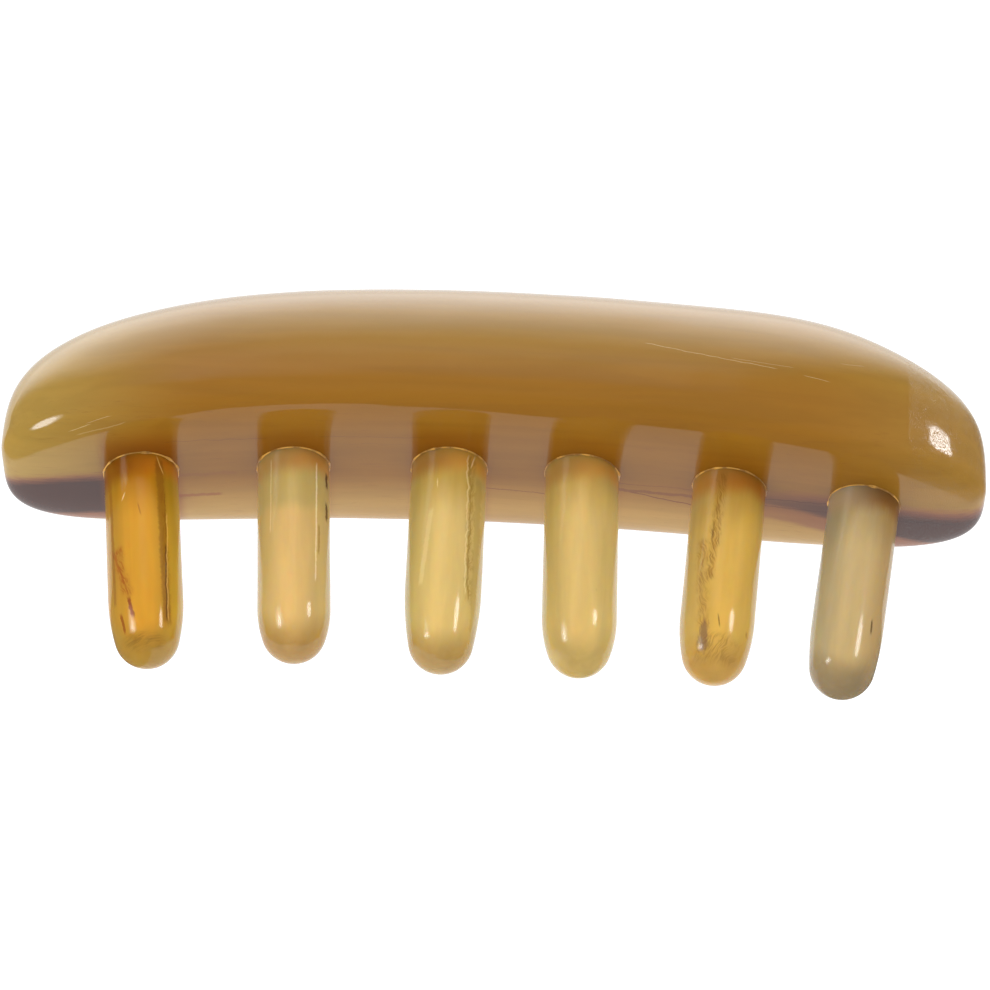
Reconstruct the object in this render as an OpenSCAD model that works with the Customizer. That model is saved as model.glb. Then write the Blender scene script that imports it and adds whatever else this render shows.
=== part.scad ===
// Scalp massage comb of polished horn: a thick rounded bar with six round-ended teeth.
// The comb is drawn upright, with its underside at z = 0, its front at -y and its teeth down,
// and is then laid on its rear side, where the bar's side and the outer tooth tips touch the table.

/* [Handle] */
// Length of the bar, end to end
bar_len = 120; // [100:1:140]
// Thickness of the bar, front to rear
bar_thick = 28.7; // [24:0.1:34]
// Height of the crown above the bar's widest line
crown_rise = 17.4; // [14:0.1:20]
// Depth of the underside below the bar's widest line
base_depth = 6.9; // [6:0.1:9]

/* [Teeth] */
// Depth to which each tooth is seated in the bar
seat_depth = 10; // [7:0.5:12]
// Gap between a tooth and the wall of its hole
seat_gap = 0.05; // [0.02:0.01:0.15]
// Gap between a tooth's inner end and the bottom of its hole
end_gap = 0.3; // [0.1:0.1:1]
// How far the row of teeth stands in front of the bar's middle
row_forward = 0.3; // [0:0.1:2]
// Radius of the rounding at a tooth's very end, less than every tooth's own radius
tip_radius = 3.9; // [3.2:0.1:4.2]

/* [Smoothness] */
// Points in a quarter of the bar's section
quarter_points = 12; // [6:1:16]
// Sections from the bar's middle to each end
half_sections = 30; // [12:1:36]

/* [Hidden] */
$fn = 96;

half_len = bar_len / 2;
half_thick = bar_thick / 2;

// How squarely the section is rounded: 2 is an ellipse, and more is squarer.
crown_square = 2;
base_square = 5;

// The two ends are dressed by hand and differ a little.
// Columns: squareness of the plan, of the crown line and of the underside line,
// fall of the widest line from the middle to the tip, and how late that fall comes.
END_PLAN = 0;
END_CROWN = 1;
END_BASE = 2;
END_FALL = 3;
END_LATE = 4;
ENDS = [
    [3.52, 3.66, 3.70, 6.93, 2.38],  // left
    [2.90, 3.75, 3.80, 6.53, 2.11],  // right
];

// The crown was left a little proud at one place. Columns: x, half length of the swell, and height.
CROWN_SWELL = [41.3, 14.9, 1.6];

// One row for each tooth, from the left. Columns: x at the underside, lean towards the comb's
// middle in degrees, reach, radius, and radius of the shoulder that eases the rod into its end.
TOOTH_X = 0;
TOOTH_LEAN = 1;
TOOTH_REACH = 2;
TOOTH_R = 3;
TOOTH_SHOULDER = 4;
TEETH = [
    [-42.9,  6.7, 27.4, 4.50, 27.0],
    [-24.4,  4.0, 27.5, 4.39, 15.0],
    [ -5.4,  0.4, 28.8, 4.61, 43.0],
    [ 10.8,  1.0, 28.4, 4.50, 16.5],
    [ 28.8, -3.5, 27.6, 4.47, 23.0],
    [ 45.2, -6.6, 27.3, 4.31, 49.0],
];

// Squareness that only spaces the sections along the bar, so that they lie closer at the ends.
spacing_square = 3.2;

// How far the tool that drills a hole stands out of the underside, to clear its curve.
hole_mouth = 4;

// How far a tooth's end arc stands out from the circle that would only touch the shoulder,
// so that the two arcs cross at one clear point.
end_proud = 0.005;

// Steepest tilt that is tried when the comb is laid down, and how often the range is halved.
steepest_tilt = 45;
tilt_halvings = 24;

function end_of(x) = ENDS[x < 0 ? 0 : 1];
function rounded(share, square) = pow(max(0, 1 - pow(abs(share), square)), 1 / square);
function swell(x, at) = at[2] * exp(-pow((x - at[0]) / at[1], 2));
function signed_pow(v, power) = sign(v) * pow(abs(v), power);

// Half thickness, crown height, base depth and the height of the widest line, at x along the bar.
function bar_half(x) = half_thick * rounded(x / half_len, end_of(x)[END_PLAN]);
function bar_crown(x) =
    (crown_rise + swell(x, CROWN_SWELL)) * rounded(x / half_len, end_of(x)[END_CROWN]);
function bar_base(x) = base_depth * rounded(x / half_len, end_of(x)[END_BASE]);
function widest_z(x) =
    base_depth - end_of(x)[END_FALL] * pow(abs(x) / half_len, end_of(x)[END_LATE]);
function underside_z(x) = widest_z(x) - bar_base(x);

// Places along the bar, from tip to tip without the tips, and the points of one section.
stations = [for (i = [1 - half_sections : half_sections - 1])
    half_len * signed_pow(sin(90 * i / half_sections), 2 / spacing_square)];
section_points = 4 * quarter_points;
function section_point(x, turn) =
    let (up = sin(turn) > 0,
         square = up ? crown_square : base_square,
         rise = up ? bar_crown(x) : bar_base(x))
    [x,
     bar_half(x) * signed_pow(cos(turn), 2 / square),
     widest_z(x) + rise * signed_pow(sin(turn), 2 / square)];
function section(x) =
    [for (j = [0 : section_points - 1]) section_point(x, 360 * j / section_points)];

tips = [[-half_len, 0, widest_z(-half_len)], [half_len, 0, widest_z(half_len)]];
skin = concat([for (x = stations) each section(x)], tips);
ring_count = len(stations);
left_tip = ring_count * section_points;
right_tip = left_tip + 1;
function ring_point(i, j) = i * section_points + (j % section_points);
skin_faces = concat(
    [for (i = [0 : ring_count - 2], j = [0 : section_points - 1]) each [
        [ring_point(i, j), ring_point(i, j + 1), ring_point(i + 1, j + 1)],
        [ring_point(i, j), ring_point(i + 1, j + 1), ring_point(i + 1, j)],
    ]],
    [for (j = [0 : section_points - 1]) [left_tip, ring_point(0, j + 1), ring_point(0, j)]],
    [for (j = [0 : section_points - 1])
        [right_tip, ring_point(ring_count - 1, j), ring_point(ring_count - 1, j + 1)]]);

// The comb settles where the bar's rear side and the lowest tooth tip are on the table together.
function reach_down(point, tilt) = point[1] * cos(tilt) - point[2] * sin(tilt);
function reach_back(point, tilt) = point[1] * sin(tilt) + point[2] * cos(tilt);
function tip_centre(tooth) =
    let (along = tooth[TOOTH_REACH] - tip_radius)
    [tooth[TOOTH_X] + along * sin(tooth[TOOTH_LEAN]),
     -row_forward,
     underside_z(tooth[TOOTH_X]) - along * cos(tooth[TOOTH_LEAN])];
function bar_down(tilt) = max([for (point = skin) reach_down(point, tilt)]);
function tips_down(tilt) =
    tip_radius + max([for (tooth = TEETH) reach_down(tip_centre(tooth), tilt)]);
function settled(low, high, steps) =
    let (middle = (low + high) / 2)
    steps == 0 ? middle
    : tips_down(middle) < bar_down(middle) ? settled(middle, high, steps - 1)
    : settled(low, middle, steps - 1);
rest_tilt = settled(0, steepest_tilt, tilt_halvings);
rest_lift = bar_down(rest_tilt);
back_edge = max([for (point = skin) reach_back(point, rest_tilt)]);
front_edge =
    min([for (tooth = TEETH) reach_back(tip_centre(tooth), rest_tilt)]) - tip_radius;

// Puts a piece that is drawn with its axis up at a tooth's place, pointing down out of the bar.
module at_tooth(tooth) {
    translate([tooth[TOOTH_X], -row_forward, underside_z(tooth[TOOTH_X])])
        rotate([0, 180 - tooth[TOOTH_LEAN], 0])
            children();
}

// Lays the upright comb on its rear side, with its outline centred over the origin.
module laid_down() {
    translate([0, -(back_edge + front_edge) / 2, rest_lift])
        rotate([rest_tilt - 90, 0, 0])
            children();
}

module bar_blank() {
    polyhedron(points = skin, faces = skin_faces, convexity = 4);
}

module tooth_hole(tooth) {
    depth = seat_depth + end_gap;
    at_tooth(tooth)
        translate([0, 0, -depth])
            cylinder(h = depth + hole_mouth, r = tooth[TOOTH_R] + seat_gap);
}

module handle() {
    color("#9c6f2c")
        laid_down()
            difference() {
                bar_blank();
                for (tooth = TEETH) tooth_hole(tooth);
            }
}

// Half outline of a tooth: a straight rod, a shoulder arc that leaves the rod smoothly, and an
// end arc centred on the tooth's own axis.
module tooth_profile(length, radius, shoulder) {
    touching = tip_radius - end_proud;
    rise = sqrt(pow(shoulder - touching, 2) - pow(shoulder - radius, 2));
    join = shoulder * rise / (shoulder - touching);
    rod = length - rise - tip_radius;
    square([radius, rod]);
    translate([0, rod])
        intersection() {
            translate([radius - shoulder, 0])
                circle(r = shoulder);
            union() {
                square([2 * radius, join]);
                translate([0, rise])
                    circle(r = tip_radius);
            }
            square([2 * radius, rise + 2 * tip_radius]);
        }
}

module tooth(number, shade) {
    row = TEETH[number - 1];
    color(shade)
        laid_down()
            at_tooth(row)
                translate([0, 0, -seat_depth])
                    rotate_extrude()
                        tooth_profile(seat_depth + row[TOOTH_REACH], row[TOOTH_R], row[TOOTH_SHOULDER]);
}

handle();
tooth(1, "#c98a22");  // tooth_1
tooth(2, "#d6b273");  // tooth_2
tooth(3, "#d8bb68");  // tooth_3
tooth(4, "#d6ba72");  // tooth_4
tooth(5, "#d0a548");  // tooth_5
tooth(6, "#b3a276");  // tooth_6
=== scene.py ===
"""A scalp massage comb of polished horn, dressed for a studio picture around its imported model.

The comb's forms are worked out upright, in millimetres, with the teeth down, and are then laid on
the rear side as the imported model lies. Blender's own lengths are in metres.
"""

import math
from typing import NamedTuple

import bmesh
import bpy
from mathutils import Matrix, Vector, noise


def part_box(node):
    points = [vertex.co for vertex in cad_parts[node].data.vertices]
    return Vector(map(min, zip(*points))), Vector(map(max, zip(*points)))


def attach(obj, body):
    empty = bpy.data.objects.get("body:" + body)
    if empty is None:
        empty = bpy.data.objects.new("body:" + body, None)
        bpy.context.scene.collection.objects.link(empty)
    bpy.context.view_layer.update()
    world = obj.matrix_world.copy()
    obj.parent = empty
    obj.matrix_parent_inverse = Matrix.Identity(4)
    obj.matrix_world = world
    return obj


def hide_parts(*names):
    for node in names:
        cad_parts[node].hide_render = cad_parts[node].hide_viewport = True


bl_info = {
    "name": "Horn massage comb",
    "version": (1, 0, 0),
    "blender": (4, 5, 0),
    "location": "3D View > Sidebar > Comb",
    "description": "Builds a polished horn massage comb and the studio that it lies in",
    "category": "Object",
}

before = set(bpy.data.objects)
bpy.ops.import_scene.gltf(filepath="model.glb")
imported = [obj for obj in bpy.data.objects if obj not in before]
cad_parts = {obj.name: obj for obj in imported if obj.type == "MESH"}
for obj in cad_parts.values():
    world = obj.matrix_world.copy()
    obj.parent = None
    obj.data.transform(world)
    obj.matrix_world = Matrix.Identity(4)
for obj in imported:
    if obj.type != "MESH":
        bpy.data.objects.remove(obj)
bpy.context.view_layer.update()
HANDLE_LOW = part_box("handle")[0]

MM = 0.001
LEAN_AT_REST = 19.754  # degrees that it tips back, to lie on the bar's rear side and a tooth's end

# The bar's section is an ellipse above its widest line and squarer below it.
CROWN_SQUARE = 2
BASE_SQUARE = 5
SPACING_SQUARE = 3.2  # spaces the sections along the bar, so that they lie closer at the ends

# The crown was left a little proud at one place, in mm.
SWELL_X = 41.3
SWELL_HALF = 14.9
SWELL_HEIGHT = 1.6

HOLE_MOUTH = 4  # mm that a drill stands out of the underside
END_GAP = 0.3  # mm between a tooth's inner end and the bottom of its hole
SHARP_ANGLE = math.radians(35)

# Sections from the bar's middle to an end, and points round each, that find how low the bar lies.
REST_SECTIONS = 30
REST_POINTS = 96

# Points of the meshes: round the bar, along it, round a tooth, along its parts, round a hole and
# round a line of glue.
BAR_AROUND = 192
BAR_ALONG = 320
TOOTH_AROUND = 160
ROD_STEPS = 80
SHOULDER_STEPS = 24
TIP_STEPS = 28
HOLE_AROUND = 128
GLUE_POINTS = 144

# The hand-dressed surface, in mm: the size of its waves, how far a tooth strays from its turned
# form, how far from the root that starts, and how near its axis it ends.
BAR_WAVES = 13
TOOTH_WAVES = 7
TOOTH_STRAY = 0.02
STRAYS_FROM = 0.2
NEAR_AXIS = 0.5
GROOVE_SHOULDER = 0.12  # added to a crack's own width, for the groove that is cut there

# Glue: rounds that bring its line down to the bar, the thickness of the line and what a blob adds,
# as shares of the setting, and how closely the blobs follow each other.
GLUE_ROUNDS = 4
GLUE_THIN = 0.8
GLUE_BLOB = 1.9
GLUE_CLOSE = 3
GLUE_SHIFT = 5  # moves the blobs from one tooth to the next

FIBRE_TINT = "#7a4c20"  # the fine fibres on the bar's underside
TOOTH_SHADE_TINT = "#843e04"  # painted shade beside the teeth, orange with the light that they throw
OLD_GLUE = "#a2702c"  # the darker specks in the glue

# Where the bar's colours come in, from none to all of each, in mm in the upright frame: x along
# the bar, y to the rear and z up.
CROWN_COLOUR = (3.0, 13.0)  # z
PALE_LEFT = (-34.0, -58.0)  # x
PALE_RIGHT = (36.0, 60.0)  # x
PALE_RIGHT_DEPTH = 0.45  # how much of the pale end's colour shows at the right
UNDERSIDE = (2.0, -0.5)  # z
CREAM_AND_GLOW_STRIP = (0.5, 9.0)  # y, of the cream strip, which is partly painted glow of light through the thin rear edge
MARKED_FRONT = (9.5, 8.5)  # y, of the grain lines and scratches
PITTED_END = (49.5, 50.5)  # x
TOOTH_SHADE_BESIDE = (1.0, -0.8)  # from the side of a tooth
TOOTH_SHADE_DEEP = (-11.0, -5.0)  # y
TOOTH_SHADE_HIGH = (3.0, -1.0)  # z

# The same for a tooth, in its own frame: x across, y to the front and z from the root.
SIDE_SHADE = (0.15, 0.95)  # x, as shares of its radius, of the sides' colours: painted shade, partly the horn's own
SIDE_SHADE_DEPTH = 0.62  # how much of the sides' colours and painted shade shows
TIP_COLOUR = (0.86, 1.02)  # z, as shares of its reach
DOMED = 0.18  # how much the tip's colour curves back at the sides
ROOT_SHADE = (4.6, 1.8)  # z, of the root's painted shade: the bar's shadow on the tooth and its orange light
ROOT_SHADE_SIDES = (-3.0, 3.0)  # x, from the root's painted shade at the left to that at the right
ROOT_SHADE_SLOPE = (0.0, 3.0)  # x, where the root's painted shade gets shorter to the right
ROOT_SHADE_SHORTER = 0.7  # by this much
MARKED_HALF = (-0.3, 0.3)  # y

WEAR = 0.04  # how much rougher the horn is where its polish has gone
STREAK_DEPTH = 0.95  # how much of the dark layer's own colour shows
RIM_DEPTH = 0.75  # and how much of its border's
REAR_RIM = 2.4  # how many times wider that border is behind the layer than in front

# Depth in metres of the finest ripples in the bar's and the teeth's skin, and of the bar's pits.
BAR_RIPPLE = 0.00004
TOOTH_RIPPLE = 0.00003
PIT_DEPTH = 0.00002


class EndForm(NamedTuple):
    """How one end of the bar was dressed."""

    plan: float  # squareness of the outline seen from above
    crown: float  # squareness of the crown line
    base: float  # squareness of the underside line
    fall: float  # fall of the widest line from the middle to the tip, in mm
    late: float  # how late that fall comes


LEFT_END = EndForm(3.52, 3.66, 3.70, 6.93, 2.38)
RIGHT_END = EndForm(2.90, 3.75, 3.80, 6.53, 2.11)


class ToothForm(NamedTuple):
    """One turned tooth, in mm, with its lean towards the comb's middle in degrees."""

    x: float
    lean: float
    reach: float
    radius: float
    shoulder: float
    slot: str


TEETH = [
    ToothForm(-42.9, 6.7, 27.4, 4.50, 27.0, "horn_amber"),
    ToothForm(-24.4, 4.0, 27.5, 4.39, 15.0, "horn_peach"),
    ToothForm(-5.4, 0.4, 28.8, 4.61, 43.0, "horn_straw"),
    ToothForm(10.8, 1.0, 28.4, 4.50, 16.5, "horn_cream"),
    ToothForm(28.8, -3.5, 27.6, 4.47, 23.0, "horn_honey"),
    ToothForm(45.2, -6.6, 27.3, 4.31, 49.0, "horn_grey"),
]


class Line(NamedTuple):
    """A crack, fibre or light line along a tooth, in mm from the root and from the middle."""

    start: float
    end: float
    place: float
    drift: float  # how far it moves sideways for each mm along the tooth
    width: float
    wander: float
    tint: str
    strength: float
    groove: float = 0.0  # depth of the real groove that is cut there, in mm


class Patch(NamedTuple):
    """A soft-edged stain on a tooth, in mm from the root and from the middle."""

    middle_along: float
    middle_across: float
    half_length: float
    half_width: float
    ragged: float
    tint: str
    strength: float


class Splinters(NamedTuple):
    """A band of fine slanting strokes on a tooth, in mm from the root and from the middle."""

    start: float
    end: float
    place: float
    drift: float  # how far it moves sideways for each mm along the tooth
    half_width: float
    slant: float  # how far a stroke moves sideways for each mm along the tooth
    tint: str
    strength: float
    thick: float = 0.22  # of a stroke, across the tooth
    long: float = 1.4  # of a stroke, along the tooth


class ToothLook(NamedTuple):
    """Colours of a tooth down its length, partly painted light and shade, and its marks."""

    root: str  # painted shade of the bar, with its orange light, at the left of the root
    # the root's painted shade at the right
    root_right: str
    # upper and middle: the horn's own colours, with painted shade above where the bar stands behind
    # the tooth, and painted light through the middle
    upper: str
    middle: str
    tip: str
    # the sides: painted shade where less light comes through the tooth, partly the horn's own colour
    left: str
    right: str
    soak: float  # share of painted shade, orange with the tooth's light, that the bar shows round its root
    turn: float  # mm from the root where the upper colour, partly painted shade, gives way to the middle's
    spread: float  # mm on each side of that over which they blend
    lines: tuple
    patches: tuple
    splinters: tuple = ()


TOOTH_LOOKS = [
    ToothLook(
        root="#8e5710", root_right="#c87e1c",
        upper="#b67b10", middle="#dba32e", tip="#a88636", left="#9c7a28", right="#a8922c",
        soak=0.6, turn=6.5, spread=3.5,
        lines=(
            Line(0.4, 24.0, 2.35, 0.010, 0.60, 0.10, "#946018", 0.6, 0.02),
            Line(12.5, 23.6, 2.76, -0.022, 0.10, 0.14, "#5a330e", 0.7, 0.03),
            Line(5.0, 12.5, 2.85, -0.012, 0.08, 0.18, "#7a4a16", 0.45),
            Line(8.0, 23.6, 3.04, -0.022, 0.08, 0.14, "#f0c468", 0.5),
            Line(0.1, 3.0, 2.0, 0.30, 0.10, 0.10, "#f0c468", 0.7),
            Line(5.2, 6.7, -1.80, -0.385, 0.11, 0.02, "#ffe2a4", 0.9),
            Line(13.6, 20.5, -3.50, 0.255, 0.14, 0.16, "#a04a10", 0.45),
            Line(20.0, 23.4, -1.95, 0.160, 0.28, 0.18, "#8a2a08", 0.8),
            Line(21.8, 25.0, -2.95, 0.170, 0.18, 0.08, "#8a2a08", 0.7),
            Line(7.0, 9.3, -0.45, 0.200, 0.12, 0.06, "#a35c12", 0.6),
            Line(2.0, 21.0, -3.70, 0.010, 0.22, 0.12, "#8d5a1c", 0.5),
        ),
        patches=(),
        splinters=(
            Splinters(0.6, 24.6, 2.45, 0.006, 0.65, 0.12, "#8a5818", 0.45),
            Splinters(12.5, 20.5, -3.30, 0.18, 0.80, -0.30, "#a0480e", 0.7),
            Splinters(24.6, 27.0, -0.2, 0.0, 3.4, 3.0, "#74501a", 0.5, 0.75, 0.4),
        ),
    ),
    ToothLook(
        root="#b49157", root_right="#d49c52",
        upper="#ccb26c", middle="#e2bf79", tip="#aa8645", left="#ac9c64", right="#b2a26a",
        soak=0.3, turn=8.2, spread=1.2,
        lines=(
            Line(1.4, 19.0, 2.90, -0.012, 0.12, 0.05, "#fff0c8", 0.6),
            Line(1.0, 12.0, -2.60, -0.010, 0.10, 0.05, "#f6e2b4", 0.4),
            Line(1.8, 4.6, 4.05, 0.0, 0.16, 0.12, "#4a2c10", 0.9, 0.05),
            Line(6.2, 9.4, 4.02, 0.0, 0.16, 0.12, "#4a2c10", 0.85, 0.05),
            Line(10.2, 15.0, 3.10, 0.0, 0.14, 0.10, "#9c7c40", 0.6),
        ),
        patches=(),
    ),
    ToothLook(
        root="#a97e3f", root_right="#e0a84e",
        upper="#caaa56", middle="#e2c67c", tip="#ac8c4c", left="#aa9c5c", right="#bca868",
        soak=0.45, turn=7.0, spread=3.0,
        lines=(
            Line(0.3, 21.2, 2.60, 0.022, 0.12, 0.34, "#9c7a3a", 0.55),
            Line(0.3, 20.6, 2.30, 0.020, 0.12, 0.34, "#f3dfa4", 0.55),
            Line(0.1, 2.6, 3.10, -0.16, 0.10, 0.10, "#f6dc9c", 0.8),
            Line(8.4, 19.6, -1.79, -0.080, 0.36, 0.06, "#f6e0a0", 0.4),
            Line(4.2, 6.0, -1.30, 0.10, 0.10, 0.10, "#f8e6a8", 0.7),
            Line(3.0, 26.0, 3.75, 0.0, 0.5, 0.20, "#a88f4c", 0.4),
        ),
        patches=(),
        splinters=(
            Splinters(0.4, 21.5, 2.75, 0.016, 0.6, 0.20, "#9c7a34", 0.55),
        ),
    ),
    ToothLook(
        root="#b28c4c", root_right="#e0a852",
        upper="#d0ae5e", middle="#dfc178", tip="#bea665", left="#b6a25e", right="#c2b070",
        soak=0.25, turn=6.5, spread=3.5,
        lines=(
            Line(18.8, 19.5, 1.90, 0.0, 0.12, 0.03, "#8a6c34", 0.7),
            Line(16.0, 16.5, 2.40, 0.0, 0.10, 0.03, "#8a6c34", 0.5),
        ),
        patches=(),
    ),
    ToothLook(
        root="#b6843e", root_right="#c07e2c",
        upper="#c29c46", middle="#e0b858", tip="#bc974f", left="#b8a46c", right="#be9e50",
        soak=0.15, turn=6.5, spread=3.5,
        lines=(
            Line(8.4, 10.4, -1.50, 0.0, 0.12, 0.05, "#5f3a14", 0.6, 0.04),
            Line(20.6, 22.8, -0.05, 0.200, 0.12, 0.05, "#7d5626", 0.7),
            Line(21.6, 22.8, 3.55, 0.0, 0.12, 0.04, "#7d5626", 0.7),
        ),
        patches=(
            Patch(23.6, -1.5, 1.9, 0.65, 0.5, "#7e5a48", 0.65),
        ),
        splinters=(
            Splinters(0.3, 16.5, -0.90, -0.032, 0.80, -0.25, "#946826", 0.8, 0.20, 2.4),
            Splinters(9.6, 23.0, -2.65, 0.080, 0.85, -0.25, "#a07636", 0.65, 0.20, 2.4),
            Splinters(22.8, 27.0, -0.2, 0.0, 3.6, 0.5, "#8a6630", 0.5, 0.22, 1.4),
        ),
    ),
    ToothLook(
        root="#b49e7c", root_right="#8c6234",
        upper="#b49d6c", middle="#cdb47f", tip="#907e5e", left="#9e9c84", right="#8e6c3a",
        soak=0.05, turn=6.5, spread=3.5,
        lines=(
            Line(18.0, 20.5, 2.80, 0.010, 0.14, 0.04, "#6a5230", 0.85, 0.04),
        ),
        patches=(),
    ),
]


class BarLine(NamedTuple):
    """A grain line or a fine scratch along the bar, in mm along it and round its section."""

    start: float
    end: float
    place: float  # z less y, which grows from the underside's rear round the front to the crown
    drift: float
    width: float
    wander: float
    tint: str
    strength: float


BAR_LINES = [
    BarLine(-40.0, -27.0, 4.5, 0.095, 0.09, 0.3, "#6e3f1e", 0.4),
    BarLine(-21.5, -8.0, 6.3, 0.03, 0.09, 0.2, "#6e4a1e", 0.4),
    BarLine(-22.0, -8.0, 4.8, 0.03, 0.08, 0.2, "#7a5428", 0.25),
    BarLine(-39.0, -31.0, -2.6, 0.10, 0.45, 0.4, "#8a4c28", 0.25),
    BarLine(-41.0, -33.0, -7.3, 0.10, 0.40, 0.3, "#8a3c26", 0.5),
    BarLine(-3.0, 9.0, -3.3, -0.11, 0.13, 0.3, "#74401e", 0.6),
    BarLine(14.0, 27.0, -2.5, -0.07, 0.40, 0.3, "#743a24", 0.55),
    BarLine(16.5, 27.0, -2.9, -0.28, 0.14, 0.3, "#6a3018", 0.7),
    BarLine(14.0, 27.0, -1.2, -0.05, 0.12, 0.3, "#74401e", 0.4),
    BarLine(31.0, 42.0, -2.6, -0.04, 0.12, 0.3, "#4e2018", 0.5),
    BarLine(31.0, 42.0, -4.0, -0.08, 0.12, 0.3, "#4e2018", 0.4),
    BarLine(47.0, 57.0, -5.6, -0.02, 0.12, 0.3, "#2c1614", 0.4),
    # The light lines below are fine scratches, painted lighter with the glint that they catch.
    BarLine(-51.3, -48.2, 6.2, 0.60, 0.10, 0.2, "#e8cf9a", 0.45),
    BarLine(-49.2, -45.7, 7.9, 0.50, 0.06, 0.2, "#f2dcae", 0.35),
    BarLine(-50.4, -44.0, 5.6, 0.45, 0.14, 0.2, "#e0c48c", 0.25),
    BarLine(17.5, 34.0, 24.2, -0.20, 0.05, 0.12, "#ecd3a4", 0.4),
    BarLine(28.0, 36.0, 22.4, -0.17, 0.04, 0.10, "#ecd3a4", 0.3),
    BarLine(36.7, 40.4, 20.1, -0.30, 0.05, 0.1, "#ecd3a4", 0.35),
    BarLine(41.3, 44.7, 21.6, -0.15, 0.04, 0.1, "#ecd3a4", 0.25),
]


class Streak(NamedTuple):
    """The dark layer where it shows at one end of the bar. Its edges are (x, y) places in mm."""

    front: tuple
    rear: tuple
    fades: float  # x where it has faded out
    full: float  # x where it has its full depth of colour
    soft: float  # width of its soft front edge
    crisp: float  # width of its rear edge
    rim: float  # width of the reddish border


STREAKS = [
    Streak(
        front=((-60, 1.8), (-54, -0.4), (-46, -0.4), (-40, 3.4), (-34, 5.2)),
        rear=((-60, 9.5), (-54, 9.0), (-46, 8.6), (-40, 7.2), (-34, 6.1)),
        fades=-35.0, full=-46.0, soft=2.0, crisp=1.4, rim=0.9,
    ),
    Streak(
        front=((14, 0.7), (33, -0.4), (41, -1.1), (50, -0.6), (60, 0.0)),
        rear=((14, 1.6), (33, 2.6), (41, 4.2), (47, 6.0), (53, 7.4), (60, 9.0)),
        fades=14.0, full=52.0, soft=2.6, crisp=1.2, rim=1.3,
    ),
]


def shade(code):
    """The linear red, green and blue of a colour that is written as #rrggbb."""
    parts = [int(code[i : i + 2], 16) / 255 for i in (1, 3, 5)]
    return tuple(p / 12.92 if p <= 0.04045 else ((p + 0.055) / 1.055) ** 2.4 for p in parts)


def a_length(name, description, default):
    return bpy.props.FloatProperty(
        name=name, description=description, default=default, unit="LENGTH"
    )


def a_number(name, description, default):
    return bpy.props.FloatProperty(name=name, description=description, default=default)


def an_angle(name, description, degrees):
    return bpy.props.FloatProperty(
        name=name, description=description, default=math.radians(degrees), subtype="ANGLE"
    )


def a_colour(name, description, code):
    return bpy.props.FloatVectorProperty(
        name=name, description=description, default=shade(code), subtype="COLOR"
    )


class HandleSettings(bpy.types.PropertyGroup):
    """The horn bar."""

    length: a_length("Length", "Length of the bar, end to end", 0.120)
    thickness: a_length("Thickness", "Thickness, front to rear", 0.0287)
    crown_rise: a_length("Crown rise", "Height of the crown above the bar's widest line", 0.0174)
    base_depth: a_length("Base depth", "Depth of the underside below the bar's widest line", 0.0069)
    unevenness: a_length("Unevenness", "How far the surface strays from its ideal form", 0.00005)
    horn: a_colour("Horn", "Main colour of the bar", "#9a6819")
    crown: a_colour("Crown", "Colour of the bar's upper half", "#9e751f")
    pale_end: a_colour("Pale end", "Colour towards the bar's ends, more so at the left", "#ac8a3e")
    # The cream strip is partly the horn's own and partly painted glow of light through the thin edge.
    cream: a_colour("Cream strip", "Colour of the strip along the rear lower edge", "#ba934e")
    streak: a_colour("Dark streak", "Colour of the dark layer that shows at both ends", "#402320")
    rim: a_colour("Streak rim", "Colour that borders the dark layer", "#7e3a38")


class TeethSettings(bpy.types.PropertyGroup):
    """The six teeth and their glue."""

    seat_depth: a_length("Seat depth", "Depth of each tooth in the bar", 0.010)
    seat_gap: a_length("Seat gap", "Gap round a tooth in its hole", 0.00005)
    tip_radius: a_length("Tip radius", "Rounding of the very end", 0.0039)
    row_forward: a_length("Row forward", "How far the row stands in front of the bar's middle", 0.0003)
    glue_radius: a_length("Glue line", "Radius of the line of dried glue", 0.00014)
    glue: a_colour("Glue", "Colour of the dried glue", "#f0b656")


class StageSettings(bpy.types.PropertyGroup):
    """The table, the lights and the camera."""

    lens: a_number("Lens", "Focal length on a 36 mm sensor, in mm", 164.1)
    distance: a_length("Camera distance", "From the camera to its target", 0.5491)
    azimuth: an_angle("Azimuth", "Turn of the camera to the right of straight in front", 1.2162)
    elevation: an_angle("Elevation", "Height of the camera as an angle", 36.5544)
    roll: an_angle("Roll", "Tilt of the camera", 1.5995)
    table_light: a_number("Table glow", "Light that the white table gives off", 1.2)
    room_light: a_number("Room light", "Strength of the room's light from behind", 1.18)


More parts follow.
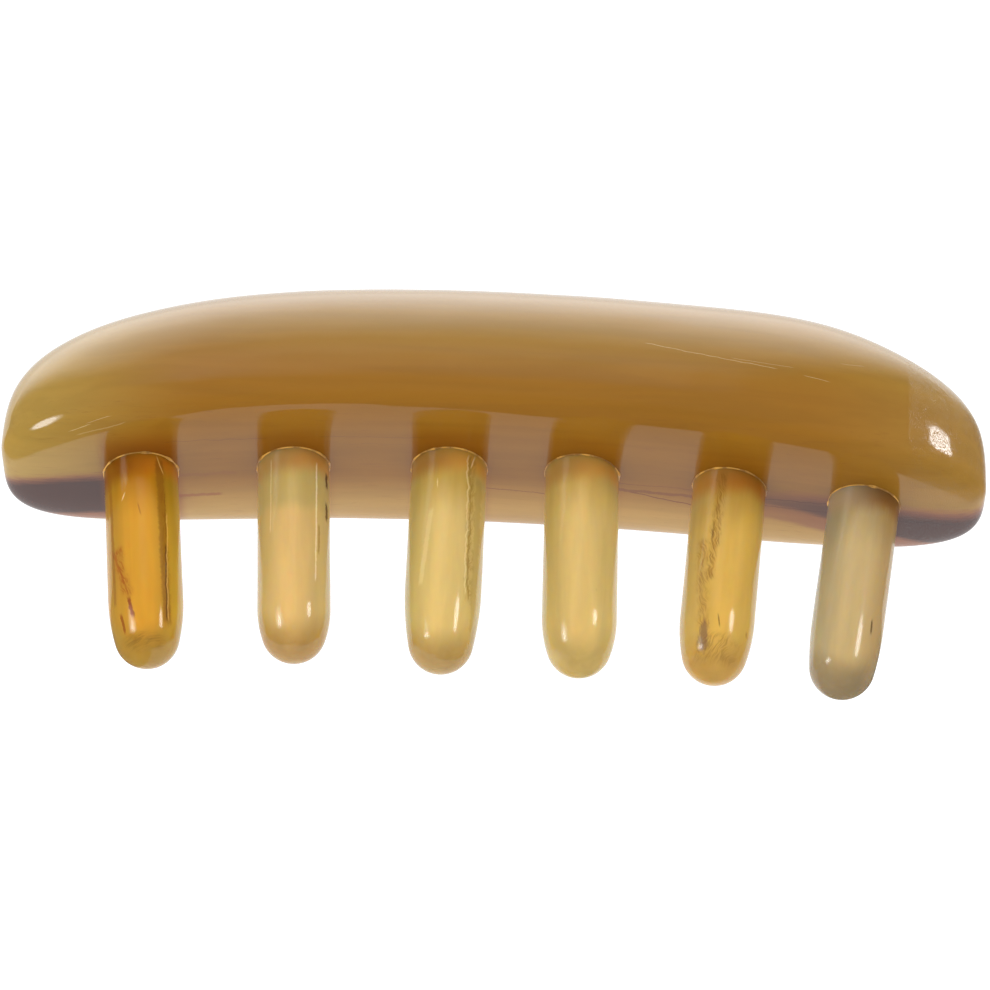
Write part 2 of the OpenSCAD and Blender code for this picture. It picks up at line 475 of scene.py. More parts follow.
class BarForm:
    """The bar's form in the upright frame, in mm, as functions of x along it."""

    def __init__(self, settings):
        self.half_len = settings.length / MM / 2
        self.half_thick = settings.thickness / MM / 2
        self.crown_rise = settings.crown_rise / MM
        self.base_depth = settings.base_depth / MM

    def end(self, x):
        return LEFT_END if x < 0 else RIGHT_END

    def rounded(self, x, square):
        return max(0.0, 1 - abs(x / self.half_len) ** square) ** (1 / square)

    def half(self, x):
        return self.half_thick * self.rounded(x, self.end(x).plan)

    def crown(self, x):
        swell = SWELL_HEIGHT * math.exp(-(((x - SWELL_X) / SWELL_HALF) ** 2))
        return (self.crown_rise + swell) * self.rounded(x, self.end(x).crown)

    def base(self, x):
        return self.base_depth * self.rounded(x, self.end(x).base)

    def widest(self, x):
        end = self.end(x)
        return self.base_depth - end.fall * abs(x / self.half_len) ** end.late

    def underside(self, x, y=0.0):
        """Height of the underside at a place on it."""
        share = min(1.0, abs(y) / max(self.half(x), 1e-6))
        return self.widest(x) - self.base(x) * (1 - share**BASE_SQUARE) ** (1 / BASE_SQUARE)

    def point(self, x, turn):
        """A point of the section at x, at an angle round it from the rear."""
        cos, sin = math.cos(turn), math.sin(turn)
        square = CROWN_SQUARE if sin > 0 else BASE_SQUARE
        rise = self.crown(x) if sin > 0 else self.base(x)
        size = (abs(cos) ** square + abs(sin) ** square) ** (-1 / square)
        return Vector((x, self.half(x) * cos * size, self.widest(x) + rise * sin * size))


def bar_form():
    return BarForm(bpy.context.scene.comb_handle)


def spaced(latitude):
    """Share of the half length at which a section stands, from its angle between the two ends."""
    return math.copysign(abs(math.sin(latitude)) ** (2 / SPACING_SQUARE), latitude)


def laid_down():
    """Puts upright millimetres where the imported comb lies, in metres."""
    form = bar_form()
    turned = Matrix.Rotation(math.radians(LEAN_AT_REST - 90), 4, "X")
    points = []
    for i in range(-REST_SECTIONS, REST_SECTIONS + 1):
        x = form.half_len * spaced(math.pi / 2 * i / REST_SECTIONS)
        angles = [2 * math.pi * j / REST_POINTS for j in range(REST_POINTS)]
        points += [turned @ form.point(x, angle) for angle in angles]
    low_y = min(p.y for p in points)
    low_z = min(p.z for p in points)
    moved = Matrix.Translation((0, HANDLE_LOW.y / MM - low_y, HANDLE_LOW.z / MM - low_z))
    return Matrix.Scale(MM, 4) @ moved @ turned


def at_tooth(tooth):
    """From a tooth's own frame, with x across, y to the front and z out of the bar, to upright."""
    settings = bpy.context.scene.comb_teeth
    root = Vector((tooth.x, -settings.row_forward / MM, bar_form().underside(tooth.x)))
    lean = math.radians(tooth.lean)
    turn = Matrix(
        (
            (math.cos(lean), 0, math.sin(lean)),
            (0, -1, 0),
            (math.sin(lean), 0, -math.cos(lean)),
        )
    )
    return Matrix.Translation(root) @ turn.to_4x4()


def new_object(name, mesh, material):
    """A finished piece that rides on the comb."""
    piece = bpy.data.objects.new(name, mesh)
    bpy.context.scene.collection.objects.link(piece)
    mesh.materials.clear()
    mesh.materials.append(material)
    for face in mesh.polygons:
        face.use_smooth = True
    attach(piece, "root")
    return piece


def mesh_from(bm, name):
    """A mesh of the finished shape, which is then let go."""
    mesh = bpy.data.meshes.new(name)
    bm.to_mesh(mesh)
    bm.free()
    return mesh


def applied(piece, name):
    """A new mesh with the piece's modifiers applied, and the piece removed."""
    graph = bpy.context.evaluated_depsgraph_get()
    mesh = bpy.data.meshes.new_from_object(piece.evaluated_get(graph))
    mesh.name = name
    bpy.data.objects.remove(piece)
    return mesh


def unevenness(point, size):
    """A slow waviness between about -1 and 1, with waves of this size in mm."""
    return noise.noise(point / size) + 0.35 * noise.noise(point / (0.4 * size) + Vector((7, 3, 1)))


def bar_blank():
    """The bar before drilling: a sphere drawn out to the bar's form, and a little uneven."""
    form = bar_form()
    stray = bpy.context.scene.comb_handle.unevenness / MM
    bm = bmesh.new()
    bmesh.ops.create_uvsphere(bm, u_segments=BAR_AROUND, v_segments=BAR_ALONG, radius=1)
    for vert in bm.verts:
        latitude = math.asin(max(-1.0, min(1.0, vert.co.z)))
        turn = math.atan2(vert.co.y, vert.co.x)
        vert.co = form.point(form.half_len * spaced(latitude), turn)
    bmesh.ops.recalc_face_normals(bm, faces=bm.faces)
    bm.normal_update()
    moves = [(v, v.normal * stray * unevenness(v.co, BAR_WAVES)) for v in bm.verts]
    for vert, move in moves:
        vert.co += move
    return bm


def tooth_drills():
    """Six closed cylinders, one for each hole."""
    settings = bpy.context.scene.comb_teeth
    depth = settings.seat_depth / MM + END_GAP
    bm = bmesh.new()
    for tooth in TEETH:
        middle = Matrix.Translation((0, 0, (HOLE_MOUTH - depth) / 2))
        radius = tooth.radius + settings.seat_gap / MM
        bmesh.ops.create_cone(
            bm,
            cap_ends=True,
            segments=HOLE_AROUND,
            radius1=radius,
            radius2=radius,
            depth=depth + HOLE_MOUTH,
            matrix=at_tooth(tooth) @ middle,
        )
    bmesh.ops.recalc_face_normals(bm, faces=bm.faces)
    return bm


def drilled_bar():
    """The bar with its six holes, in place."""
    blank = bpy.data.objects.new("blank", mesh_from(bar_blank(), "blank"))
    drills = bpy.data.objects.new("drills", mesh_from(tooth_drills(), "drills"))
    for piece in (blank, drills):
        bpy.context.scene.collection.objects.link(piece)
    cut = blank.modifiers.new("holes", "BOOLEAN")
    cut.operation = "DIFFERENCE"
    cut.solver = "EXACT"
    cut.object = drills
    mesh = applied(blank, "handle_horn")
    bpy.data.objects.remove(drills)
    mesh.transform(laid_down())
    return mesh


def tooth_profile(tooth):
    """Half outline of a tooth, from its inner end to its tip: radius and distance from the root."""
    settings = bpy.context.scene.comb_teeth
    tip = settings.tip_radius / MM
    seat = settings.seat_depth / MM
    over = tooth.shoulder - tip
    rise = math.sqrt(over**2 - (tooth.shoulder - tooth.radius) ** 2)
    rod = tooth.reach - rise - tip
    outline = [(0, -seat), (tooth.radius, -seat), (tooth.radius, -1)]
    outline += [(tooth.radius, -1 + (rod + 1) * i / ROD_STEPS) for i in range(1, ROD_STEPS + 1)]
    join = math.asin(rise / over)
    for i in range(1, SHOULDER_STEPS + 1):
        angle = join * i / SHOULDER_STEPS
        radius = tooth.radius - tooth.shoulder * (1 - math.cos(angle))
        outline.append((radius, rod + tooth.shoulder * math.sin(angle)))
    for i in range(1, TIP_STEPS + 1):
        angle = join + (math.pi / 2 - join) * i / TIP_STEPS
        outline.append((tip * math.cos(angle), rod + rise + tip * math.sin(angle)))
    outline[-1] = (0, tooth.reach)
    return outline


def line_place(line, along, number):
    """Where a line lies across the tooth, this far from the root."""
    stray = noise.noise(Vector((0.45 * along, line.place, number)))
    return line.place + line.drift * (along - line.start) + line.wander * stray


def tooth_mesh(number):
    """A turned tooth with its real cracks cut in, in place."""
    tooth = TEETH[number - 1]
    grooves = [line for line in TOOTH_LOOKS[number - 1].lines if line.groove]
    bm = bmesh.new()
    verts = [bm.verts.new((r, 0, z)) for r, z in tooth_profile(tooth)]
    edges = [bm.edges.new(pair) for pair in zip(verts, verts[1:])]
    bmesh.ops.spin(
        bm,
        geom=verts + edges,
        cent=(0, 0, 0),
        axis=(0, 0, 1),
        angle=2 * math.pi,
        steps=TOOTH_AROUND,
        use_merge=True,
    )
    bmesh.ops.remove_doubles(bm, verts=bm.verts, dist=1e-4)
    bmesh.ops.recalc_face_normals(bm, faces=bm.faces)
    for vert in bm.verts:
        if vert.co.z < STRAYS_FROM:
            continue
        outward = Vector((vert.co.x, vert.co.y, 0))
        if outward.length < NEAR_AXIS:
            continue
        outward.normalize()
        stray = TOOTH_STRAY * unevenness(vert.co + Vector((0, 0, 50 * number)), TOOTH_WAVES)
        for line in grooves:
            if vert.co.y < 0 or not line.start < vert.co.z < line.end:
                continue
            off = abs(vert.co.x - line_place(line, vert.co.z, number))
            off /= line.width + GROOVE_SHOULDER
            if off < 1:
                stray -= line.groove * (1 - off**2) ** 2
        vert.co += outward * stray
    bmesh.ops.transform(bm, matrix=laid_down() @ at_tooth(tooth), verts=bm.verts)
    bmesh.ops.recalc_face_normals(bm, faces=bm.faces)
    return mesh_from(bm, f"tooth_{number}_horn")


def glue_line(number):
    """The thin line of dried glue round a tooth's root, with a few small blobs in it."""
    settings = bpy.context.scene.comb_teeth
    form = bar_form()
    tooth = TEETH[number - 1]
    own = at_tooth(tooth)
    radius = tooth.radius
    curve = bpy.data.curves.new("glue", "CURVE")
    curve.dimensions = "3D"
    curve.bevel_depth = settings.glue_radius / MM
    curve.bevel_resolution = 2
    spline = curve.splines.new("POLY")
    spline.points.add(GLUE_POINTS - 1)
    spline.use_cyclic_u = True
    for i, point in enumerate(spline.points):
        angle = 2 * math.pi * i / GLUE_POINTS
        cos, sin = math.cos(angle), math.sin(angle)
        along = 0.0
        for _ in range(GLUE_ROUNDS):
            spot = own @ Vector((radius * cos, radius * sin, along))
            along += spot.z - form.underside(spot.x, spot.y)
        point.co = (*spot, 1)
        blob = noise.noise(Vector((GLUE_CLOSE * cos, GLUE_CLOSE * sin, GLUE_SHIFT * number)))
        point.radius = GLUE_THIN + GLUE_BLOB * max(0.0, blob)
    piece = bpy.data.objects.new("glue", curve)
    bpy.context.scene.collection.objects.link(piece)
    mesh = applied(piece, f"glue_{number}")
    mesh.transform(laid_down())
    return mesh


def node(tree, kind, **settings):
    made = tree.nodes.new(kind)
    for name, value in settings.items():
        setattr(made, name, value)
    return made


def plug(tree, socket, value):
    """Links an output to a socket, or sets a plain value on it."""
    if isinstance(value, bpy.types.NodeSocket):
        tree.links.new(value, socket)
    elif socket.type == "RGBA":
        socket.default_value = (*value[:3], 1)
    else:
        socket.default_value = value


def wired(tree, kind, *values, **settings):
    """The outputs of a new node, with the values plugged in its inputs in order."""
    made = node(tree, kind, **settings)
    for socket, value in zip(made.inputs, values):
        plug(tree, socket, value)
    return made.outputs


def preset(made, **values):
    """Sets a node's inputs by name, where Subsurface_Scale is Subsurface Scale."""
    for name, value in values.items():
        made.inputs[name.replace("_", " ")].default_value = value


def maths(tree, operation, *values):
    """The result of one sum."""
    return wired(tree, "ShaderNodeMath", *values, operation=operation)[0]


def smooth(tree, value, low, high, to_low=0.0, to_high=1.0):
    """Goes smoothly from to_low to to_high as the value goes from low to high."""
    values = (value, low, high, to_low, to_high)
    return wired(tree, "ShaderNodeMapRange", *values, interpolation_type="SMOOTHSTEP")[0]


def mix(tree, share, first, second, blend="MIX"):
    """The first colour with this share of the second over it."""
    made = node(tree, "ShaderNodeMix", data_type="RGBA", blend_type=blend)
    plug(tree, made.inputs[0], share)
    plug(tree, made.inputs[6], first)
    plug(tree, made.inputs[7], second)
    return made.outputs[2]


def cloud(tree, vector, scale, detail=2.0, roughness=0.5, distortion=0.0):
    """Soft clouds about 0.5, with this many waves in each unit of the vector."""
    made = node(tree, "ShaderNodeTexNoise")
    plug(tree, made.inputs["Vector"], vector)
    preset(made, Scale=scale, Detail=detail, Roughness=roughness, Distortion=distortion)
    return made.outputs[0]


def times(tree, first, second):
    return maths(tree, "MULTIPLY", first, second)


def plus(tree, first, second):
    return maths(tree, "ADD", first, second)


def minus(tree, first, second):
    return maths(tree, "SUBTRACT", first, second)


def times_plus(tree, value, factor, added):
    return maths(tree, "MULTIPLY_ADD", value, factor, added)


def joined(tree, x, y, z):
    """A vector from its three parts."""
    return wired(tree, "ShaderNodeCombineXYZ", x, y, z)[0]


def parts_of(tree, vector):
    return wired(tree, "ShaderNodeSeparateXYZ", vector)


def stretched(tree, vector, scale):
    return wired(tree, "ShaderNodeVectorMath", vector, scale, operation="MULTIPLY")[0]


def place(tree, group, **values):
    """Puts a shared group in a tree and sets its inputs, where half_width is Half width."""
    made = node(tree, "ShaderNodeGroup", node_tree=group)
    for name, value in values.items():
        plug(tree, made.inputs[name.replace("_", " ").capitalize()], value)
    return made.outputs


def new_group(name, inputs, outputs):
    """A shader group. Its sockets are numbers, except one that is called Vector."""
    group = bpy.data.node_groups.new(name, "ShaderNodeTree")
    for way, labels in (("INPUT", inputs), ("OUTPUT", outputs)):
        for label in labels.split(", "):
            kind = "NodeSocketVector" if label == "Vector" else "NodeSocketFloat"
            group.interface.new_socket(label, in_out=way, socket_type=kind)
    return group, node(group, "NodeGroupInput").outputs, node(group, "NodeGroupOutput").inputs


def off_line(group, given, wave=None):
    """How far a place lies from a mark's own line, which drifts sideways along the piece."""
    run = minus(group, given["Along"], given["Start"])
    middle = times_plus(group, run, given["Drift"], given["Place"])
    if wave is not None:
        middle = times_plus(group, wave, times(group, given["Wander"], 3.0), middle)
    return maths(group, "ABSOLUTE", minus(group, given["Across"], middle))


def lengthwise_share(group, given, ease):
    """1 along a mark, and less in its first and last few mm, as given by ease."""
    along, start, end = given["Along"], given["Start"], given["End"]
    begun = smooth(group, along, start, plus(group, start, ease))
    return times(group, begun, smooth(group, along, minus(group, end, ease), end, 1.0, 0.0))


# In the shared groups below, lengths are in mm, and the scales of clouds are waves for each mm.


def line_group():
    """A thin wandering line along the grain, as a mask."""
    inputs = "Along, Across, Start, End, Place, Drift, Width, Wander"
    group, given, out = new_group("Horn line", inputs, "Mask")
    seed = joined(group, given["Place"], 0.0, given["Along"])
    off = off_line(group, given, minus(group, cloud(group, seed, 0.5, 3), 0.5))
    ragged = times_plus(group, cloud(group, seed, 2.2, 2), 1.1, 0.45)
    width = times(group, given["Width"], ragged)
    near = smooth(group, off, times(group, width, 0.45), width, 1.0, 0.0)
    plug(group, out["Mask"], times(group, near, lengthwise_share(group, given, 0.8)))
    return group


def patch_group():
    """A soft oval stain with a ragged edge, as a mask."""
    inputs = "Vector, Along, Across, Middle along, Middle across, Half length, Half width, Ragged"
    group, given, out = new_group("Horn patch", inputs, "Mask")
    far = minus(group, given["Along"], given["Middle along"])
    far = maths(group, "DIVIDE", far, given["Half length"])
    wide = minus(group, given["Across"], given["Middle across"])
    wide = maths(group, "DIVIDE", wide, given["Half width"])
    squares = plus(group, times(group, far, far), times(group, wide, wide))
    fibres = cloud(group, stretched(group, given["Vector"], (3.0, 3.0, 0.5)), 1.0, 3, 0.6)
    stray = times(group, minus(group, fibres, 0.5), given["Ragged"])
    reach = times_plus(group, stray, 4.0, maths(group, "SQRT", squares))
    plug(group, out["Mask"], smooth(group, reach, 0.5, 1.25, 1.0, 0.0))
    return group


def splinter_group():
    """A ragged band of fine slanting strokes, as a mask."""
    inputs = "Vector, Along, Across, Start, End, Place, Drift, Half width, Slant, Thick, Long"
    group, given, out = new_group("Horn splinters", inputs, "Mask")
    vector, along = given["Vector"], given["Along"]
    uneven = cloud(group, stretched(group, vector, (0.3, 0.3, 0.5)), 1.0, 3)
    off = maths(group, "DIVIDE", off_line(group, given), given["Half width"])
    near = smooth(group, times_plus(group, uneven, 1.6, off), 1.0, 1.9, 1.0, 0.0)
    whole = times(group, near, lengthwise_share(group, given, 1.0))
    bend = minus(group, cloud(group, stretched(group, vector, (0.4, 0.4, 0.5)), 1.0, 2), 0.5)
    lean = times_plus(group, along, given["Slant"], times(group, bend, 1.6))
    sideways = maths(group, "DIVIDE", plus(group, given["Across"], lean), given["Thick"])
    straight = joined(group, sideways, maths(group, "DIVIDE", along, given["Long"]), 0.0)
    strokes = smooth(group, cloud(group, straight, 1.0, 3, 0.55, 0.5), 0.40, 0.66)
    plug(group, out["Mask"], times(group, whole, times_plus(group, strokes, 0.75, 0.25)))
    return group


def fibre_group():
    """Grain along z: broad soft bands, and fine fibres."""
    group, given, out = new_group("Horn fibres", "Vector, Stretch", "Bands, Fibres")
    x, y, z = parts_of(group, given["Vector"])
    short = joined(group, x, y, maths(group, "DIVIDE", z, given["Stretch"]))
    plug(group, out["Bands"], cloud(group, short, 0.45, 3, 0.5, 0.3))
    plug(group, out["Fibres"], cloud(group, short, 3.2, 4, 0.62, 0.4))
    return group


def polish_group():
    """A hand-polished surface: slightly uneven gloss and the finest ripples and scuffs."""
    group, given, out = new_group("Hand polish", "Vector, Gloss, Wear", "Roughness, Height")
    vector = given["Vector"]
    smears = cloud(group, stretched(group, vector, (0.5, 0.5, 0.25)), 1.0, 4, 0.6)
    uneven = smooth(group, smears, 0.35, 0.8)
    plug(group, out["Roughness"], times_plus(group, uneven, given["Wear"], given["Gloss"]))
    ripples = cloud(group, stretched(group, vector, (1.0, 1.0, 0.5)), 0.22, 2, 0.4)
    scuffs = cloud(group, stretched(group, vector, (9.0, 9.0, 2.0)), 1.0, 2, 0.5)
    plug(group, out["Height"], times_plus(group, scuffs, 0.02, ripples))
    return group


GROUPS = {}


def groups():
    """The shared groups, built once."""
    if not GROUPS:
        GROUPS.update(
            line=line_group(),
            patch=patch_group(),
            splinters=splinter_group(),
            fibres=fibre_group(),
            polish=polish_group(),
        )
    return GROUPS


def cleared(owner):
    """The node tree of a material or a world, emptied."""
    owner.use_nodes = True
    owner.node_tree.nodes.clear()
    return owner.node_tree


def new_material(name):
    """An empty finish, with its node tree and the surface that is set in it."""
    material = bpy.data.materials.new(name)
    tree = cleared(material)
    surface = node(tree, "ShaderNodeBsdfPrincipled")
    shown(tree, surface.outputs[0])
    return material, tree, surface


def mixed(tree, share, first, second):
    """One shader or the other, by a share."""
    return wired(tree, "ShaderNodeMixShader", share, first, second)[0]


def shown(tree, shader, kind="Material"):
    """Makes a shader the whole surface of a material, or of a world."""
    wired(tree, f"ShaderNodeOutput{kind}", shader)


def own_coordinates(tree, matrix):
    """Object coordinates in millimetres, in the frame that the matrix puts in the row's."""
    spot, turn, _scale = matrix.decompose()
    made = node(tree, "ShaderNodeMapping", vector_type="TEXTURE")
    plug(tree, made.inputs["Vector"], node(tree, "ShaderNodeTexCoord").outputs["Object"])
    preset(made, Location=spot, Rotation=turn.to_euler(), Scale=(MM, MM, MM))
    return made.outputs[0], parts_of(tree, made.outputs[0])


def apply_polish(tree, surface, vector, gloss, ripple):
    """Gloss and the finest relief, from the shared polish."""
    polish = place(tree, groups()["polish"], vector=vector, gloss=gloss, wear=WEAR)
    plug(tree, surface.inputs["Roughness"], polish["Roughness"])
    bump = node(tree, "ShaderNodeBump")
    bump.inputs["Distance"].default_value = ripple
    plug(tree, bump.inputs["Height"], polish["Height"])
    plug(tree, surface.inputs["Normal"], bump.outputs[0])
    return bump.outputs[0]


def deepen(surface, weight, radius, depth, ior):
    """Lets light into the horn, to a depth in mm."""
    preset(surface, Subsurface_Weight=weight, Subsurface_Radius=radius, IOR=ior)
    preset(surface, Subsurface_Scale=depth * MM)


def toned(tree, colour, tone):
    """A colour times a brightness."""
    return mix(tree, 1.0, colour, joined(tree, tone, tone, tone), "MULTIPLY")


def marked(tree, colour, kind, mark, where, **given):
    """A colour with one mark of a table over it. The mark's columns set its group."""
    columns = mark._asdict()
    tint, strength = columns.pop("tint"), columns.pop("strength")
    columns.pop("groove", None)
    mask = place(tree, groups()[kind], **given, **columns)["Mask"]
    share = times(tree, times(tree, mask, where), strength)
    return mix(tree, share, colour, shade(tint))


def ramp_of(tree, value, places):
    """The height of a smooth curve through (x, y) places, at a value of x."""
    made = node(tree, "ShaderNodeFloatCurve")
    low, high = places[0][0], places[-1][0]
    least, most = min(y for _, y in places), max(y for _, y in places)
    span = maths(tree, "DIVIDE", minus(tree, value, low), high - low)
    plug(tree, made.inputs["Value"], span)
    points = made.mapping.curves[0].points
    while len(points) < len(places):
        points.new(0.5, 0.5)
    for point, (x, y) in zip(points, places):
        point.location = ((x - low) / (high - low), (y - least) / (most - least))
    made.mapping.update()
    return times_plus(tree, made.outputs[0], most - least, least)


def streaked(tree, colour, x, across, lower):
    """The bar's colour with its dark layer, which has a reddish border, at both ends."""
    colours = bpy.context.scene.comb_handle
    for streak in STREAKS:
        front = ramp_of(tree, x, streak.front)
        rear = ramp_of(tree, x, streak.rear)
        share = smooth(tree, x, streak.fades, streak.full)
        layers = ((streak.rim, colours.rim, RIM_DEPTH), (0.0, colours.streak, STREAK_DEPTH))
        for reach, tint, strength in layers:
            begins = minus(tree, front, reach)
            ends = plus(tree, rear, REAR_RIM * reach)
            begun = smooth(tree, across, begins, plus(tree, begins, streak.soft))
            ended = smooth(tree, across, minus(tree, ends, streak.crisp), ends, 1.0, 0.0)
            deep = times(tree, times(tree, times(tree, begun, ended), share), lower)
            colour = mix(tree, times(tree, deep, strength), colour, tuple(tint))
    return colour


def tooth_shaded(tree, colour, x, y, z):
    """The bar's colour with painted shade round each tooth's hole, orange with the tooth's light."""
    for tooth, look in zip(TEETH, TOOTH_LOOKS):
        beside = maths(tree, "ABSOLUTE", minus(tree, x, tooth.x))
        far, close = [tooth.radius + gap for gap in TOOTH_SHADE_BESIDE]
        near = smooth(tree, beside, far, close, 0.0, look.soak)
        near = times(tree, near, smooth(tree, y, *TOOTH_SHADE_DEEP))
        near = times(tree, near, smooth(tree, z, *TOOTH_SHADE_HIGH))
        colour = mix(tree, near, colour, shade(TOOTH_SHADE_TINT))
    return colour


def handle_material():
    """Olive-brown horn: lengthwise grain, a cream strip, a dark layer at both ends, painted light and
    shade.
    """
    colours = bpy.context.scene.comb_handle
    material, tree, surface = new_material("Polished horn, handle")
    upright, (x, y, z) = own_coordinates(tree, laid_down())
    lengthwise = joined(tree, y, z, x)
    grain = place(tree, groups()["fibres"], vector=lengthwise, stretch=14.0)
    pale = tuple(colours.pale_end)
    colour = mix(tree, smooth(tree, z, *CROWN_COLOUR), tuple(colours.horn), tuple(colours.crown))
    colour = mix(tree, smooth(tree, x, *PALE_LEFT), colour, pale)
    colour = mix(tree, smooth(tree, x, *PALE_RIGHT, 0.0, PALE_RIGHT_DEPTH), colour, pale)
    lower = smooth(tree, z, *UNDERSIDE)
    # The cream strip: partly the horn's own, partly painted glow of the table's light through the thin
    # rear edge.
    rear = times(tree, smooth(tree, y, *CREAM_AND_GLOW_STRIP), lower)
    colour = mix(tree, rear, colour, tuple(colours.cream))
    colour = toned(tree, colour, smooth(tree, grain["Bands"], 0.35, 0.65, 0.95, 1.04))
    fine = smooth(tree, grain["Fibres"], 0.56, 0.72, 0.0, 0.2)
    colour = mix(tree, times(tree, fine, lower), colour, shade(FIBRE_TINT))
    ragged = plus(tree, y, times(tree, minus(tree, grain["Fibres"], 0.5), 1.2))
    colour = streaked(tree, colour, x, ragged, lower)
    # Painted shade beside the teeth, orange with the light that they throw.
    colour = tooth_shaded(tree, colour, x, y, z)
    round_it = minus(tree, z, y)
    in_front = smooth(tree, y, *MARKED_FRONT)
    for line in BAR_LINES:
        colour = marked(tree, colour, "line", line, in_front, along=x, across=round_it)
    plug(tree, surface.inputs["Base Color"], colour)
    deepen(surface, weight=0.15, radius=(1.0, 0.5, 0.2), depth=2, ior=1.56)
    polished = apply_polish(tree, surface, lengthwise, gloss=0.05, ripple=BAR_RIPPLE)
    pitted = smooth(tree, cloud(tree, upright, 7.0, 2), 0.52, 0.66)
    pits = node(tree, "ShaderNodeBump", invert=True)
    pits.inputs["Distance"].default_value = PIT_DEPTH
    plug(tree, pits.inputs["Height"], times(tree, pitted, smooth(tree, x, *PITTED_END)))
    plug(tree, pits.inputs["Normal"], polished)
    plug(tree, surface.inputs["Normal"], pits.outputs[0])
    return material


def tooth_material(number):
    """Translucent horn of one tooth, its colours down the length, partly painted light and shade, and
    its marks.
    """
    tooth = TEETH[number - 1]
    look = TOOTH_LOOKS[number - 1]
    material, tree, surface = new_material(f"Polished horn, tooth {number}")
    vector, (x, y, z) = own_coordinates(tree, laid_down() @ at_tooth(tooth))
    away = (9 * number, 4 * number, 30 * number)  # so that no two teeth share their grain
    moved = wired(tree, "ShaderNodeVectorMath", vector, away, operation="ADD")[0]
    grain = place(tree, groups()["fibres"], vector=moved, stretch=9.0)
    # Upper and middle colours: the horn's own, with painted shade above where the bar stands behind
    # the tooth and painted light from the table through the middle.
    stray = times_plus(tree, minus(tree, grain["Bands"], 0.5), 2.5, z)
    turned = smooth(tree, stray, look.turn - look.spread, look.turn + look.spread)
    colour = mix(tree, turned, shade(look.upper), shade(look.middle))
    # The darker, greener sides: painted shade where less light comes through the tooth, partly the
    # horn's own colour.
    for side, tint in ((-tooth.radius, look.left), (tooth.radius, look.right)):
        inner, outer = [side * share for share in SIDE_SHADE]
        side_shade = smooth(tree, x, inner, outer, 0.0, SIDE_SHADE_DEPTH)
        colour = mix(tree, side_shade, colour, shade(tint))
    domed = times_plus(tree, times(tree, x, x), DOMED, z)
    begins, whole = [tooth.reach * share for share in TIP_COLOUR]
    colour = mix(tree, smooth(tree, domed, begins, whole), colour, shade(look.tip))
    colour = toned(tree, colour, smooth(tree, grain["Bands"], 0.3, 0.7, 0.93, 1.06))
    # Painted shade at the root: the bar's shadow on the tooth and the orange light that it throws,
    # shorter and of another colour to the right.
    shaded = times_plus(tree, minus(tree, grain["Fibres"], 0.5), 1.0, z)
    shaded = plus(tree, shaded, smooth(tree, x, *ROOT_SHADE_SLOPE, 0.0, ROOT_SHADE_SHORTER))
    across = smooth(tree, x, *ROOT_SHADE_SIDES)
    root = mix(tree, across, shade(look.root), shade(look.root_right))
    colour = mix(tree, smooth(tree, shaded, *ROOT_SHADE), colour, root)
    front = smooth(tree, y, *MARKED_HALF)
    for band in look.splinters:
        colour = marked(tree, colour, "splinters", band, front, vector=moved, along=z, across=x)
    for patch in look.patches:
        colour = marked(tree, colour, "patch", patch, 1.0, vector=moved, along=z, across=x)
    for line in look.lines:
        colour = marked(tree, colour, "line", line, front, along=z, across=x)
    plug(tree, surface.inputs["Base Color"], colour)
    deepen(surface, weight=1.0, radius=(1.0, 0.6, 0.25), depth=3, ior=1.54)
    apply_polish(tree, surface, moved, gloss=0.10, ripple=TOOTH_RIPPLE)
    return material


def glue_material():
    """Pale dried glue, slightly mottled."""
    colours = bpy.context.scene.comb_teeth
    material, tree, surface = new_material("Dried glue")
    spot = node(tree, "ShaderNodeTexCoord").outputs["Object"]
    speckle = cloud(tree, spot, 700.0, 3)
    colour = mix(tree, smooth(tree, speckle, 0.38, 0.62), tuple(colours.glue), shade(OLD_GLUE))
    plug(tree, surface.inputs["Base Color"], colour)
    plug(tree, surface.inputs["Roughness"], smooth(tree, speckle, 0.3, 0.7, 0.2, 0.4))
    return material


class COMB_OT_handle(bpy.types.Operator):
    """Builds the drilled horn bar"""

    bl_idname = "comb.handle"
    bl_label = "Handle"

    def execute(self, context):
        mesh = drilled_bar()
        piece = new_object("handle_horn", mesh, handle_material())
        receivers("bar").objects.link(piece)
        mesh.set_sharp_from_angle(angle=SHARP_ANGLE)
        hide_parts("handle")
        return {"FINISHED"}


class COMB_OT_teeth(bpy.types.Operator):
    """Builds the six turned teeth"""

    bl_idname = "comb.teeth"
    bl_label = "Teeth"

    def execute(self, context):
        for number, tooth in enumerate(TEETH, 1):
            mesh = tooth_mesh(number)
            piece = new_object(f"tooth_{number}_horn", mesh, tooth_material(number))
            receivers("teeth").objects.link(piece)
            mesh.set_sharp_from_angle(angle=SHARP_ANGLE)
            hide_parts(f"tooth_{number}")
        return {"FINISHED"}


class COMB_OT_glue(bpy.types.Operator):
    """Builds the lines of dried glue round the teeth's roots"""

    bl_idname = "comb.glue"
    bl_label = "Glue lines"

    def execute(self, context):
        material = glue_material()
        for number, tooth in enumerate(TEETH, 1):
            new_object(f"glue_{number}", glue_line(number), material)
        return {"FINISHED"}


CAMERA_TARGET = Vector((0.00032, -0.00069, 0.01130))
TABLE_HALF = 2.0  # metres
TABLE_WHITE = (1, 1, 1)
TABLE_GREY = (0.1, 0.1, 0.1)
# Where the table's lit part ends in front, in mm: x and y of places along that edge.
TABLE_FRONT = (
    (-66, -3), (-57, -9), (-50, -14), (-45, -19), (-36, -35), (-28, -58), (-20, -66),
    (-12, -44), (-1, -32), (6, -24), (40, -24), (49, -14), (54, -10), (61, -5),
)
TABLE_FRONT_SOFT = 0.8
